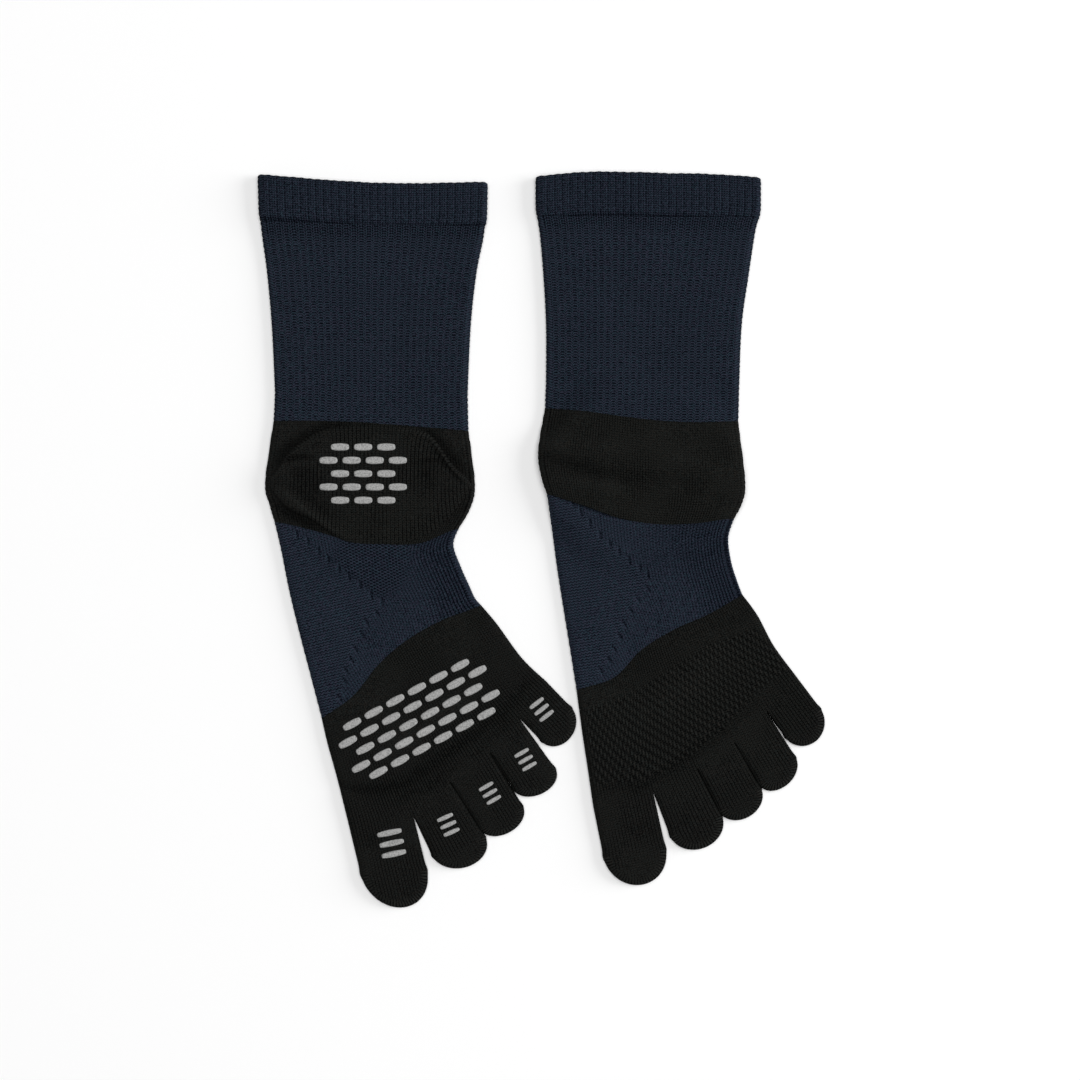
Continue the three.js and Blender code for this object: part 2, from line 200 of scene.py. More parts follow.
def paint(piece, label, values):
    """Keeps one number for each point of a piece, for its finish to read."""
    layer = piece.data.attributes.new(label, "FLOAT", "POINT")
    layer.data.foreach_set("value", np.asarray(values, np.float32))


def paint_fold_highlights(piece):
    """Marks where a piece stands steeply, as along its side folds, so that its finish paints a highlight
    there.
    """
    paint(piece, "Fold highlight", smooth(0.80, 0.25, np.abs(read(piece.data.vertices, "normal", 3)[2])))


def length_down(lines):
    """How far down the middle of a tube each of its lines lies, in millimetres."""
    middles = np.array([[(r[0] + r[2]) / 2, (r[1] + r[3]) / 2] for r in lines])
    return np.concatenate([[0], np.cumsum(np.linalg.norm(np.diff(middles, axis=0), axis=1))])


def pressed_tube(lines, ring, rows, shaping, ribs=0, rib_depth=0, wale=WALE):
    """The outer face of a stretch of a sock. Its grid goes over the tube, round its right side fold, under it
    and round its left side fold. shaping moves its points: it takes x, y, z, how much of the upper face each
    point has, and how far down each lies."""
    upper_columns, fold_columns, lower_columns = ring
    ends = np.cumsum([0, upper_columns, fold_columns, lower_columns, fold_columns])
    mesh, column, row = grid_mesh(int(ends[-1]), rows)
    place = row / rows * (len(lines) - 1)
    # Each point's share across the tube, and its turn round a side fold from up to down.
    side = np.interp(column, ends, [0, 1, 1, 0, 0])
    turn = np.interp(column, ends, [1, 1, -1, -1, 1]) * math.pi / 2
    table = through(lines, place)
    half = table[:, 8] / 2
    width = np.linalg.norm(table[:, 2:4] - table[:, 0:2], axis=1)
    fold = np.maximum(SIDE_FOLD, half) * (1 - np.cos(turn)) / width
    flat = across(table, fold + side * (1 - 2 * fold))[0].T
    upper = np.maximum(0, np.sin(turn))
    z = half * (1 + np.sin(turn)) - rib_depth * upper**4 * (0.5 - 0.5 * np.cos(TAU * ribs * side))
    down = through(length_down(lines)[:, None], place)[:, 0]
    x, y = flat
    # The outermost loops of yarn stand out one by one along both side folds.
    x = x + np.sign(side - 0.5) * np.cos(turn) ** 2 * LOOP_DEPTH * np.sin(TAU * down / LOOP_LENGTH)
    x, y, z = shaping(x, y, z, upper, down)
    # Columns of stitches are counted on from the upper face round the folds to the lower one.
    fold_share = FOLD_ROUND / FACE_WIDTH
    turned = (0.5 - turn / math.pi) * fold_share
    on_fold = np.where(side > 0.5, 1 + turned, -turned)
    on_face = np.where(turn > 0, side, 2 + fold_share - side)
    on_a_face = np.isclose(np.abs(turn), math.pi / 2)
    u = (ribs or FACE_WIDTH / wale) * np.where(on_a_face, on_face, on_fold)
    lay_points(mesh, (x, y, z), {"Knit": (u, run_down(*flat, column, row))})
    return mesh


class Value:
    """A number or a vector that varies over a finish: a node's socket, with arithmetic."""

    def __init__(self, finish, socket):
        self.finish, self.socket = finish, socket

    def _math(self, operation, *numbers):
        return self.finish.node("Math", {"operation": operation}, dict(enumerate(numbers)))

    def __add__(self, other):
        return self._math("ADD", self, other)

    __radd__ = __add__

    def __sub__(self, other):
        return self._math("SUBTRACT", self, other)

    def __rsub__(self, other):
        return self._math("SUBTRACT", other, self)

    def __mul__(self, other):
        return self._math("MULTIPLY", self, other)

    __rmul__ = __mul__

    def __truediv__(self, other):
        return self._math("DIVIDE", self, other)

    def __pow__(self, other):
        return self._math("POWER", self, other)

    def wave(self):
        """From -1 to 1 and back over each whole number."""
        return self._math("SINE", self * TAU)

    def from_middle(self, middle=0.5):
        """How far what is left over a whole number is from a middle."""
        return self._math("ABSOLUTE", self._math("FRACT", self) - middle)

    def rise(self, low, high):
        """0 below low, 1 above high, and smooth between; falling where high is less than low."""
        risen = self.finish.node(
            "MapRange",
            {"interpolation_type": "SMOOTHSTEP"},
            {"Value": self, "From Min": min(low, high), "From Max": max(low, high)},
        )
        return 1 - risen if high < low else risen


class Finish:
    """A material whose nodes are added one call at a time. By default it is as dull as knitting."""

    def __init__(self, name, roughness=0.95, specular=0.02):
        self.material = bpy.data.materials.new(name)
        self.material.use_nodes = True
        self.tree = self.material.node_tree
        self.shader = self.tree.nodes["Principled BSDF"]
        self.shader.inputs["Roughness"].default_value = roughness
        self.shader.inputs["Specular IOR Level"].default_value = specular

    def node(self, kind, settings=None, sockets=None, output=0):
        added = self.tree.nodes.new("ShaderNode" + kind)
        for key, value in (settings or {}).items():
            setattr(added, key, value)
        for key, value in (sockets or {}).items():
            if isinstance(value, Value):
                self.tree.links.new(value.socket, added.inputs[key])
            else:
                added.inputs[key].default_value = value
        return Value(self, added.outputs[output])

    def split(self, vector):
        """A vector's first two numbers."""
        first = self.node("SeparateXYZ", sockets={0: vector})
        return first, Value(self, first.socket.node.outputs[1])

    def uv(self, label):
        return self.split(self.node("UVMap", {"uv_map": label}))

    def attribute(self, label):
        return self.node("Attribute", {"attribute_name": label}, output=2)

    def noise(self, scale, detail=2.0, vector=None):
        """Noise from 0 to 1, with its scale in cells to the metre."""
        place = vector or self.node("TexCoord", output=3)
        return self.node("TexNoise", sockets={"Vector": place, "Scale": scale, "Detail": detail})

    def mix(self, amount, low, high):
        """Between two colours."""
        return self.node("Mix", {"data_type": "RGBA"}, {0: amount, 6: low, 7: high}, output=2)

    def finish(self, colour, relief, depth):
        """Feeds the colour, and a relief from 0 to 1 that is depth metres deep."""
        self.tree.links.new(colour.socket, self.shader.inputs["Base Color"])
        bump = self.node("Bump", sockets={"Height": relief, "Distance": depth, "Strength": 1.0})
        self.tree.links.new(bump.socket, self.shader.inputs["Normal"])
        return self.material


# Of a yarn: its colour down between the stitches, and those of its two fibres.
NAVY = ((0.0016, 0.0022, 0.0046, 1), (0.0225, 0.0375, 0.0530, 1), (0.0305, 0.0335, 0.0535, 1))
SHORT_ENDS = 2300  # to the metre, of the short ends of fibre that stand out from a yarn
FIBRES = 1700  # to the metre


def stitches(u, v, course, slope):
    """Plain knitting, whose columns u counts, with v in millimetres down them: how far a place is from its
    column's middle, and the brightness of the two legs of each V."""
    off = u.from_middle() * 2
    return off, (v / course + off * slope).wave() * 0.5 + 0.5


def spun(finish, yarn, colours, light, cloud_scale, fuzziness, depth):
    """The finish of knitting from how bright its yarn is. Two fibres of slightly different dye are spun
    together in it, and wear clouds it a little."""
    deep, one_fibre, other_fibre = colours
    fuzz = finish.noise(SHORT_ENDS) - 0.5
    clouds = (finish.noise(cloud_scale) - 0.5) * 0.16
    shade = (yarn - 0.42) * 1.35 + light + clouds + fuzz * fuzziness
    lit = finish.mix(finish.noise(FIBRES, 0.0).rise(0.35, 0.65), one_fibre, other_fibre)
    return finish.finish(finish.mix(shade, deep, lit), yarn + fuzz * 0.6, depth)


def navy(finish, yarn, depth):
    # Steep side folds are painted lighter: a painted highlight.
    return spun(finish, yarn, NAVY, finish.attribute("Fold highlight") * 0.42 + 0.345, 45, 2.1, depth)


def cuff_finish():
    finish = Finish("navy cuff")
    u, v = finish.uv("Knit")
    # Three columns of stitches make a rib and its valley.
    off, leg = stitches(u * 3, v, CUFF_COURSE, 0.5)
    # Yarn lies a little aside here and there, in short streaks down the ribs.
    streaks = finish.noise(1.0, 2.0, finish.node("CombineXYZ", sockets={0: u * 3.1, 1: v * 0.80}))
    bright_line = u.from_middle(0.45).rise(0.13, 0.02) * 0.12
    # Dark dashes stand in every second row of the valleys.
    spot = (v / (2 * CUFF_COURSE)).from_middle().rise(0.34, 0.14) * 0.8 + 0.2
    dash = u.from_middle(0.70).rise(0.20, 0.06) * spot * (streaks.rise(0.40, 0.62) * 0.34 + 0.02)
    # The turned end is darkened, partly for its gathered stitches and partly as painted shade where the cuff
    # steps down onto the leg.
    gathered_and_shaded_end = v.rise(*GATHERED_AND_SHADED_END) * (0.08 + off * 0.26)
    yarn = 0.36 + leg * 0.42 - off * 0.24 + bright_line - dash - gathered_and_shaded_end + (streaks - 0.5) * 0.7
    return navy(finish, yarn, 0.0004)


CUFF_FINISH = cuff_finish()
# Columns of a grid over the upper face, round each side fold and under the lower face.
CUFF_RING = (4 * RIBS, 10, 48)


def cuff_shaping(seed, length):
    """Rounds the mouth and the turned end of a cuff, and makes its mouth uneven by a loop for each rib."""

    def shaping(x, y, z, upper, down):
        mouth = 1 - roundness(down / MOUTH_ROUNDING)
        end = 1 - roundness((length - down) / END_ROUNDING)
        z = z * (1 - 0.20 * mouth - 0.10 * end)
        middle = (x.min() + x.max()) / 2
        x = x - (x - middle) * (0.024 * mouth + 0.020 * end)
        z = z + upper * 0.16 * waver(x, y, 34, seed)
        loops = 0.10 * np.cos(TAU * x / RIB_PITCH) + 0.16 * waver(x, x * 0, 8, seed)
        return x, y + loops * (1 - smooth(0, 2.5, down)), z

    return shaping


for sock, seed in (("sole_up", 1), ("instep_up", 2)):
    lines = CUFF_LINES[sock]
    shaping = cuff_shaping(seed, length_down(lines)[-1])
    mesh = pressed_tube(lines, CUFF_RING, 40, shaping, RIBS, rib_depth=0.07)
    cuff = cloth(f"{sock}_cuff_cloth", [mesh], CUFF_FINISH, CUFF_WALL)
    paint_fold_highlights(cuff)
    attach(cuff, "root")
    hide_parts(f"{sock}_cuff")


# Legs. Each is a navy mesh rib, knitted in the round with the cuff: raised columns of stitches, with a ladder
# of small holes in the valley between each two, which spreads where the leg widens.
LEG_LINES = {
    "sole_up": [
        (-112, 127, -22.4, 125.2, 0.2, 0.3, 0.3, 0.2, 4.2),
        (-111.2, 120, -23.2, 119.6, 0, 0, 0, 0, 3.5),
        (-109.4, 106.4, -25.8, 106.4, 0, 0, 0, 0, 3.3),
        (-107.6, 86.4, -28, 86.4, 0, 0, 0, 0, 3.3),
        (-106.4, 62, -29.2, 60.8, -0.4, -0.6, -0.5, -0.2, 3.3),
        (-106.4, 55.6, -29.2, 53, -0.6, -0.9, -0.7, -0.4, 3.3),
        (-106.8, 47.6, -29, 43.6, -0.8, -1.2, -0.9, -0.5, 3.3),
    ],
    "instep_up": [
        (-1.6, 129.2, 87.2, 128.8, 0, 0, 0, 0, 4.2),
        (-0.4, 121.6, 85.6, 123.2, 0, 0, 0, 0, 3.5),
        (1, 104.8, 82.8, 104.8, 0, 0, 0, 0, 3.3),
        (2, 86, 80.2, 86, 0, 0, 0, 0, 3.3),
        (2, 64.8, 79.2, 62, 0.1, 0.6, 0.9, 0.7, 3.3),
        (1.8, 58.4, 79, 54.4, 0.2, 1, 1.4, 1.2, 3.3),
        (1.6, 52.6, 78.8, 47.4, 0.2, 1.3, 2, 1.6, 3.3),
    ],
}

# The folded heel pocket is an eye shape that reaches as far on each side of its two corners. Under the
# instep-up sock it lifts the cloth that lies over it.
POCKET_REACH = 23.8
POCKET_POWER = 3.0
POCKET_HEIGHT = 2.8
POCKET_GAP = 0.3
POCKET_CORNERS = {
    "sole_up": ((-109.2, 22.8), (-27.4, 21.6)),
    "instep_up": ((1.4, 29.6), (79.2, 22.4)),
}


def near_route(x, y, route):
    """How far points are from a route, how far along it from 0 to 1, and 1 for those on its left hand or -1
    for those on its right."""
    nearest, share, side = np.full_like(x, 1e9), np.zeros_like(x), np.zeros_like(x)
    for k, (start, end) in enumerate(zip(route, route[1:])):
        from_x, from_y = x - start[0], y - start[1]
        step = np.subtract(end, start)
        along = np.clip((from_x * step[0] + from_y * step[1]) / (step @ step), 0, 1)
        away = np.hypot(from_x - along * step[0], from_y - along * step[1])
        closer = away < nearest
        nearest = np.where(closer, away, nearest)
        share = np.where(closer, (k + along) / (len(route) - 1), share)
        side = np.where(closer, np.sign(from_y * step[0] - from_x * step[1]), side)
    return nearest, share, side


def pocket_edge(share):
    """How far the pocket reaches beside a place between its corners."""
    return POCKET_REACH * (1 - np.abs(2 * share - 1) ** POCKET_POWER)


def within_pocket(sock, x, y):
    """How far points lie within the pocket's outline, in millimetres."""
    away, share = near_route(x, y, POCKET_CORNERS[sock])[:2]
    return pocket_edge(share) - away


def lift(sock, x, y):
    """How far cloth is lifted by the pocket beneath it."""
    if sock == "sole_up":
        return 0
    return (POCKET_HEIGHT + POCKET_GAP) * smooth(-20, -4, within_pocket(sock, x, y))


def creases(x, y, table):
    """The height of soft creases. Each has a depth, less than nothing for a ridge, a width and a route."""
    height = np.zeros_like(x)
    for depth, width, route in table:
        nearest, share = near_route(x, y, route)[:2]
        fade = np.minimum(1, 4 * share) * np.minimum(1, 4 * (1 - share))
        height -= depth * np.exp(-((nearest / width) ** 2)) * (0.25 + 0.75 * fade)
    return height


def soft_shaping(sock, seed, table, hump):
    """Creases a piece, makes it uneven with humps of that size, and lifts it over a pocket beneath it. Where
    a pocket lies on it, it stays flat."""

    def shaping(x, y, z, upper, down):
        bent = creases(x, y, table) + 0.22 * waver(x, y, hump, seed)
        if sock == "sole_up":
            bent = bent * smooth(6, 1, within_pocket(sock, x, y))
        return x, y, z + upper * bent + lift(sock, x, y)

    return shaping


LEG_CREASES = {
    "sole_up": [
        (0.35, 5, [(-104, 104), (-80, 98), (-52, 101)]),
        (-0.30, 6, [(-96, 78), (-66, 72), (-34, 80)]),
        (0.30, 4, [(-58, 118), (-56, 92), (-60, 64)]),
    ],
    "instep_up": [
        (0.35, 5, [(6, 92), (34, 96), (66, 88)]),
        (-0.35, 6, [(12, 74), (40, 80), (74, 70)]),
        (0.25, 4, [(30, 122), (32, 100), (28, 84)]),
    ],
}


LADDER = 2.06  # from one mesh hole to the next


def leg_finish():
    finish = Finish("navy mesh rib")
    u, v = finish.uv("Knit")
    v = v + (finish.noise(70, 0.0) - 0.5) * 1.2
    across_hole = u.from_middle()
    # Each raised column is one line of Vs, and the rows run level between them.
    leg = (v * 2 / LADDER - across_hole.rise(0.20, 0.50) * 0.72).wave() * 0.5 + 0.5
    depth = finish.noise(330, 1.0).rise(0.34, 0.62) * 0.40 + 0.19
    # Each hole is followed by a smaller one, where the next row of stitches crosses the ladder.
    down_hole = (v / LADDER + 0.125).from_middle()
    hole = across_hole.rise(0.32, 0.17) * down_hole.rise(0.20, 0.07) * depth
    small_hole = across_hole.rise(0.30, 0.14) * down_hole.rise(0.38, 0.46) * 0.26
    # The rows just below the cuff are drawn together, with narrow grooves and no holes.
    closed = v.rise(8.0, 2.0)
    groove = (u * 3).from_middle().rise(0.20, 0.48) * closed * 0.34
    # A thin dark line parts the two legs of each V.
    bright_line = across_hole.rise(0.26, 0.38) * 0.13 - across_hole.rise(0.43, 0.50) * 0.20
    yarn = (0.250 + leg * 0.51 + bright_line) * (1 - (hole + small_hole) * (1 - closed)) - groove
    return navy(finish, yarn, 0.0005)


LEG_FINISH = leg_finish()
LEG_RING = (4 * RIBS, 10, 36)

for sock, seed in (("sole_up", 3), ("instep_up", 4)):
    shaping = soft_shaping(sock, seed, LEG_CREASES[sock], 38)
    mesh = pressed_tube(LEG_LINES[sock], LEG_RING, 156, shaping, RIBS, rib_depth=0.08)
    leg = cloth(f"{sock}_leg_cloth", [mesh], LEG_FINISH)
    paint_fold_highlights(leg)
    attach(leg, "root")
    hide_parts(f"{sock}_leg")


# Heel bands. A dense plain knit in black cotton and nylon goes round the ankle and takes in the heel. It
# bulges at both sides, where the folded pocket has its corners.
HEEL_LINES = {
    "sole_up": [
        LEG_LINES["sole_up"][-1],
        (-110.2, 23.2, -26.4, 22.4, 0.8, 1.4, 1.4, 0.8, 3.4),
        (-108.4, 14, -28.2, 12.8, 1.6, 3.6, 4.4, 2.4, 3.4),
        (-106.4, 7.2, -33, 4.4, 2.6, 6.1, 7.2, 6.2, 3.4),
    ],
    "instep_up": [
        LEG_LINES["instep_up"][-1],
        (-1.2, 35.2, 81.4, 23.2, 0.8, 1.8, 2.4, 1.6, 3.4),
        (0.2, 24.8, 80.2, 14.8, 1.4, 3.4, 3.6, 2, 3.4),
        (2.4, 18.2, 77, 8.4, 2.6, 5.7, 6.1, 3.8, 3.4),
    ],
}
HEEL_CREASES = {
    "sole_up": [
        (1.3, 2.2, [(-108, 15), (-101, 11), (-94, 7), (-88, 4.4)]),
        (1.3, 2, [(-107, 29), (-103, 35), (-96, 41), (-87, 45), (-78, 46.5)]),
        (1.4, 1.6, [(-50, 46), (-41.5, 40), (-35.6, 32), (-29.5, 25)]),
        (0.5, 2, [(-30, 18), (-33, 12), (-38, 7)]),
    ],
    "instep_up": [
        (0.80, 3, [(-18, 36), (4, 32.4), (12, 29.8), (22, 26.8), (40, 24.6), (64, 24)]),
        (0.50, 2.2, [(-8, 35), (4, 32.8), (12, 30.2), (24, 26.4)]),
        (-0.45, 3, [(0, 39), (16, 38), (34, 35)]),
        (-0.50, 3, [(4, 24), (22, 22), (40, 18)]),
        (-0.35, 3, [(46, 36), (62, 30), (80, 27)]),
        (0.30, 2.6, [(52, 24), (66, 18), (77, 14)]),
    ],
}
BLACK = ((0.0012, 0.0013, 0.0013, 1), (0.0172, 0.0196, 0.0186, 1), (0.0200, 0.0189, 0.0168, 1))
PLAIN_COURSE = 0.98
PLAIN_HUMP = 30
TUCK_LENGTH = 4.47  # from one pad to the next in its column
UPPER_FACE = 0.45  # of a piece's height, above which it is its upper face


def black_finish(name, rimmed):
    """Black knitting. Where rimmed, ridges stand square to the edge of a fold or a tip, columns part where
    the cloth is marked as stretched, and tuck stitches fill the patch marked for them."""
    finish = Finish(name)
    u, v = finish.uv("Knit")
    off, leg = stitches(u, v, PLAIN_COURSE, 0.45)
    # The grooves between columns open in some places and close in others.
    open_here = finish.noise(55, 1.0).rise(0.38, 0.60) * 0.24 + 0.16
    if rimmed:
        open_here = open_here + finish.attribute("Stretched") * 0.40
    yarn = 0.44 + leg * 0.22 - off.rise(0.50, 1.0) * open_here - (1 - off).rise(0.7, 1.0) * 0.10
    if rimmed:
        turn, depth = finish.uv("Rim")
        near = depth.rise(4.2, 1.4) * (finish.noise(70, 0.0).rise(0.30, 0.60) * 0.4 + 0.6)
        ridge = turn.from_middle().rise(0.48, 0.14)
        yarn = yarn * (1 - near) + (0.16 + ridge * 0.58 + leg * 0.08) * near
        tuck = finish.attribute("Tuck")
        # Pads stand in slanting rows: each column's are a little further down than the last one's.
        one_way, other_way = u * 0.6 + v / TUCK_LENGTH, u * 0.4 - v / TUCK_LENGTH
        pad = (one_way.wave() + other_way.wave() - (u + 0.25).wave()) * 0.12
        uneven = finish.noise(420, 1.0) * 0.9 + 0.6
        yarn = yarn * (1 - tuck) + (0.32 + pad * uneven + leg * 0.24) * tuck
    # Little light gets down into the creases, so painted shade darkens them, and painted light brightens the
    # ridges.
    light = finish.attribute("Crease shading") * 0.16 + (0.31 if rimmed else 0.335)
    return spun(finish, yarn, BLACK, light, 40, 1.8, 0.0004)


def paint_crease_shading(piece, table):
    """Paints shade into the creases of a piece's upper face and light onto its ridges, as deep or high as
    they are. Gives its x, y and z, and which points are on top.
    """
    x, y, z = points_of(piece)
    on_top = z > z.max() * UPPER_FACE
    paint(piece, "Crease shading", creases(x, y, table) * on_top)
    return x, y, z, on_top


BLACK_FINISH = black_finish("black plain knit", rimmed=False)
PLAIN_RING = (100, 10, 36)

for sock, seed, flat in (("sole_up", 5, (0.168, 0.044)), ("instep_up", 6, (0.164, 0.040))):
    shaping = soft_shaping(sock, seed, HEEL_CREASES[sock], PLAIN_HUMP)
    mesh = pressed_tube(HEEL_LINES[sock], PLAIN_RING, 44, shaping)
    heel = cloth(f"{sock}_heel_cloth", [mesh], BLACK_FINISH)
    paint_crease_shading(heel, HEEL_CREASES[sock])
    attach(heel, "root")
    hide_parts(f"{sock}_heel")


# Heel pockets. The turned heel is a cup of the same black knit that folds flat into an eye shape: on top of
# the sole-up sock, and beneath the instep-up one. Its free edge is a round fold, and its other edge runs on
# into the sole. Only the one on top shows its creases.
POCKET_HEM = 0.35
POCKET_WALES = 53
POCKET_RIDGE = 1.3
POCKET_ROWS = 180
POCKET_UPPER = 110
POCKET_LOWER = 30
FAR = 50.0  # from any rim
POCKET_CREASES = [
    # The left corner's pucker and the hollow under it.
    (1.10, 0.9, [(-104.5, 30.5), (-100, 32.4), (-95, 33.2), (-90.5, 32.6)]),
    (0.80, 4.2, [(-99, 29), (-94, 23), (-88, 17)]),
    (-0.45, 1.5, [(-106.5, 24), (-103, 28), (-98, 30.2), (-92, 30.4)]),
    # The right corner's pucker, its hollow and the roll beside it.
    (0.85, 0.8, [(-52, 30.4), (-47, 31.2), (-42.5, 31.8), (-38.5, 29.5)]),
    (0.75, 3.4, [(-48.5, 29.5), (-45.8, 25), (-47, 18)]),
    (0.65, 0.8, [(-44, 37), (-39.6, 31.6), (-34.5, 25.6), (-31, 21.6)]),
    # The doubled edge below it.
    (0.60, 0.6, [(-27.8, 16), (-29.2, 10.4), (-33.2, 6), (-38, 3.2)]),
    # The fulness that is left over below the left corner.
    (-0.95, 2.2, [(-108, 21), (-100, 16.4), (-93, 10.6), (-87, 5.6), (-80, 2.6)]),
    (0.75, 2.2, [(-101, 22), (-92, 15.5), (-84, 9.2)]),
]
# Where the outline is pulled in: above or below the corners, how far along, over how much, and by how much.
POCKET_NIPS = [(-1, 0.20, 0.13, 0.26), (1, 0.92, 0.07, 0.30), (1, 0.79, 0.06, -0.05)]
# Where the columns of stitches part: middle x and y, and the reach each way.
POCKET_STRETCHED = [(-95, 22.5, 7.5, 7.5), (-47, 24, 6.0, 8.0), (-88, 10, 9.0, 4.0)]


def pocket_mesh(sock):
    """A pocket's whole face, from its hem over the top to the fold and back underneath."""
    is_on_top = sock == "sole_up"
    columns = POCKET_UPPER + POCKET_LOWER
    mesh, column, row = grid_mesh(columns, POCKET_ROWS)
    share = 0.25 * row / POCKET_ROWS + 0.375 * (1 - np.cos(math.pi * row / POCKET_ROWS))
    upper = column <= POCKET_UPPER
    # q runs from -1 on the hem, next to the sole, to 1 on the fold.
    q = np.where(upper, column / POCKET_UPPER, (columns - column) / POCKET_LOWER) * 2 - 1
    q = np.sin(q * math.pi / 2)
    left, right = (np.array(corner) for corner in POCKET_CORNERS[sock])
    span = right - left
    length = np.linalg.norm(span)
    towards_cuff = np.array([-span[1], span[0]]) / length
    edge = pocket_edge(share)
    for way, centre, reach, amount in POCKET_NIPS if is_on_top else []:
        nip = amount * np.exp(-(((share - centre) / reach) ** 2))
        edge = np.where(q * way > 0, edge * (1 - nip), edge)
    off = q * edge
    x, y = (left + share[:, None] * span + off[:, None] * towards_cuff).T
    full = np.minimum(POCKET_HEIGHT, POCKET_HEM + edge / 3.5)
    # The hem is a plump fold on the left, and lies thin where it runs on into the sole.
    hem = np.minimum(full, POCKET_HEM + 1.5 * smooth(0.50, 0.15, share) * is_on_top)
    height = hem + (full - hem) * smooth(-1.0, 0.15, q)
    from_edge = edge * (1 - np.abs(q))
    plump = roundness(from_edge / np.minimum(2.2, 0.3 + edge / 3))
    middle = height * (0.5 - 0.25 * smooth(0.2, -0.2, q) * np.minimum(1, edge / 8))
    z = np.where(upper, middle + (height - middle) * plump, middle * (1 - plump))
    floor = 0
    if is_on_top:
        roll = 0.5 * np.exp(-(((from_edge - 1.8) / 1.2) ** 2)) * smooth(0, 6, edge) * (q > 0)
        bent = creases(x, y, POCKET_CREASES) + 0.25 * waver(x, y, 26, 7) + roll
        z = z + np.where(upper, plump * bent, 0)
        floor = HEEL_LINES[sock][1][8] + 0.12
    # Columns of stitches run square into the fold, so they fan out towards the corners.
    slope = 2 * POCKET_REACH * POCKET_POWER * np.abs(2 * share - 1) ** (POCKET_POWER - 1) / length
    turned = np.where(q > 0, np.abs(q) ** 5 / 5, 0.15 * q**2 / 2)
    foot = share - np.sign(share - 0.5) * edge * slope / length * turned
    # Short ridges stand side by side along the fold, plainest near its corners.
    shares = np.linspace(0, 1, 400)
    steps = np.hypot(np.diff(shares) * length, np.diff(pocket_edge(shares)))
    ridge = np.interp(foot, shares, np.cumsum([0, *steps])) / POCKET_RIDGE
    from_corner = 1.5 * smooth(0.60, 0.20, np.abs(2 * share - 1))
    from_fold = np.where(q > 0, from_edge + 1.5 + from_corner, FAR)
    maps = {"Knit": (POCKET_WALES * foot, off), "Rim": (ridge, from_fold)}
    lay_points(mesh, (x, y, floor + np.maximum(z, 0)), maps)
    return mesh


RIMMED_FINISH = black_finish("black rimmed knit", rimmed=True)
for sock, under in (("sole_up", "sole_up_heel_cloth"), ("instep_up", "floor")):
    pocket = cloth(f"{sock}_heel_pocket_cloth", [pocket_mesh(sock)], RIMMED_FINISH, 0)
    if sock == "sole_up":
        x, y = paint_crease_shading(pocket, POCKET_CREASES)[:2]
        stretched = 0
        for centre_x, centre_y, wide, high in POCKET_STRETCHED:
            stretched += np.exp(-(((x - centre_x) / wide) ** 2) - ((y - centre_y) / high) ** 2)
        paint(pocket, "Stretched", 0.6 * stretched)
    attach(pocket, "root")
    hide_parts(f"{sock}_heel_pocket")


# Arches. Fine navy knit over the arch and the instep, in one piece with the heel band. A line of fashioning
# marks, where stitches were moved to turn the foot, parts cloth that runs down the leg from cloth that runs
# along the foot. Small holes let air through near it.
ARCH_LINES = {
    "sole_up": [
        HEEL_LINES["sole_up"][-1],
        (-103.8, -4, -35, -2, 1.6, 4.4, 5.6, 4, 3.3),
        (-100.8, -19.2, -32, -10.8, 0.6, 2.4, 3.4, 2.4, 3.2),
        (-97, -35.2, -28.6, -18.4, 0, 0.4, 0.4, 0.2, 3.2),
        (-92.4, -52.8, -26.4, -23.2, 0, -2, -3, -2, 3.2),
        (-87.6, -71.2, -24, -26, -0.1, -4.4, -5.7, -4, 3.3),
    ],
    "instep_up": [
        HEEL_LINES["instep_up"][-1],
        (4.4, 4, 74.8, 0.8, 1.6, 3.8, 4.4, 2.6, 3.3),
        (6.6, -12.4, 76, -8.8, 0.8, 2.2, 2.6, 1.6, 3.2),
        (9.2, -28.8, 78.2, -16, 0.6, 0.8, 0.6, 0.4, 3.2),
        (11.8, -44.8, 79.6, -19.8, 1.2, 0, -1, -0.4, 3.2),
        (14.2, -60, 80.4, -21.8, 3, -1.1, -1.6, 0, 3.3),
    ],
}
ARCH_CREASES = {
    "sole_up": [
        (0.30, 3, [(-96, -2), (-84, -12), (-66, -22)]),
        (-0.25, 4, [(-90, -24), (-78, -40), (-72, -58)]),
    ],
    "instep_up": [
        (-0.25, 4, [(20, -26), (30, -40), (34, -56)]),
        (0.35, 3, [(72, -2), (66, -8), (58, -12)]),
        (0.80, 1.3, [(4, 17.5), (9, 16.6), (16, 14), (26, 10.6), (36, 8)]),
    ],
}
# The route of the fashioning marks, down from the heel band and back again.
MARKS = {
    "sole_up": [
        (-97.2, 2.4), (-92.8, -0.4), (-88.4, -4.4), (-84.8, -7.6), (-80.4, -11.6), (-76.4, -14.8),
        (-72, -18), (-67.6, -22), (-63.2, -24.8), (-65.2, -29.2), (-69.6, -32.4), (-71.2, -37.6),
        (-74, -43.2), (-75.6, -47.6), (-77.6, -52), (-78.4, -56), (-80.4, -62.8),
    ],
    "instep_up": [
        (12.8, 14.8), (16, 11.2), (19.6, 6.8), (23.6, 2), (27.6, -1.6), (31.2, -4.4), (35.2, -8),
        (39.6, -11.2), (42.8, -14), (42.8, -19.6), (38.8, -23.6), (36, -28), (33.2, -33.2),
        (31.6, -38.4), (29.2, -43.2), (27.2, -47.6), (24, -52),
    ],
}
MARK_TILTS = (0.12, 0.60)  # of the marks down to the turn in the route, and of those after it
TURN_MARK = 8
BEFORE_TURN = {"sole_up": 0.236, "instep_up": 0.150}  # of the stitches before the marks, in radians
BEFORE_WALE, BEFORE_COURSE = 1.54, 1.12
ARCH_COURSE = 1.10
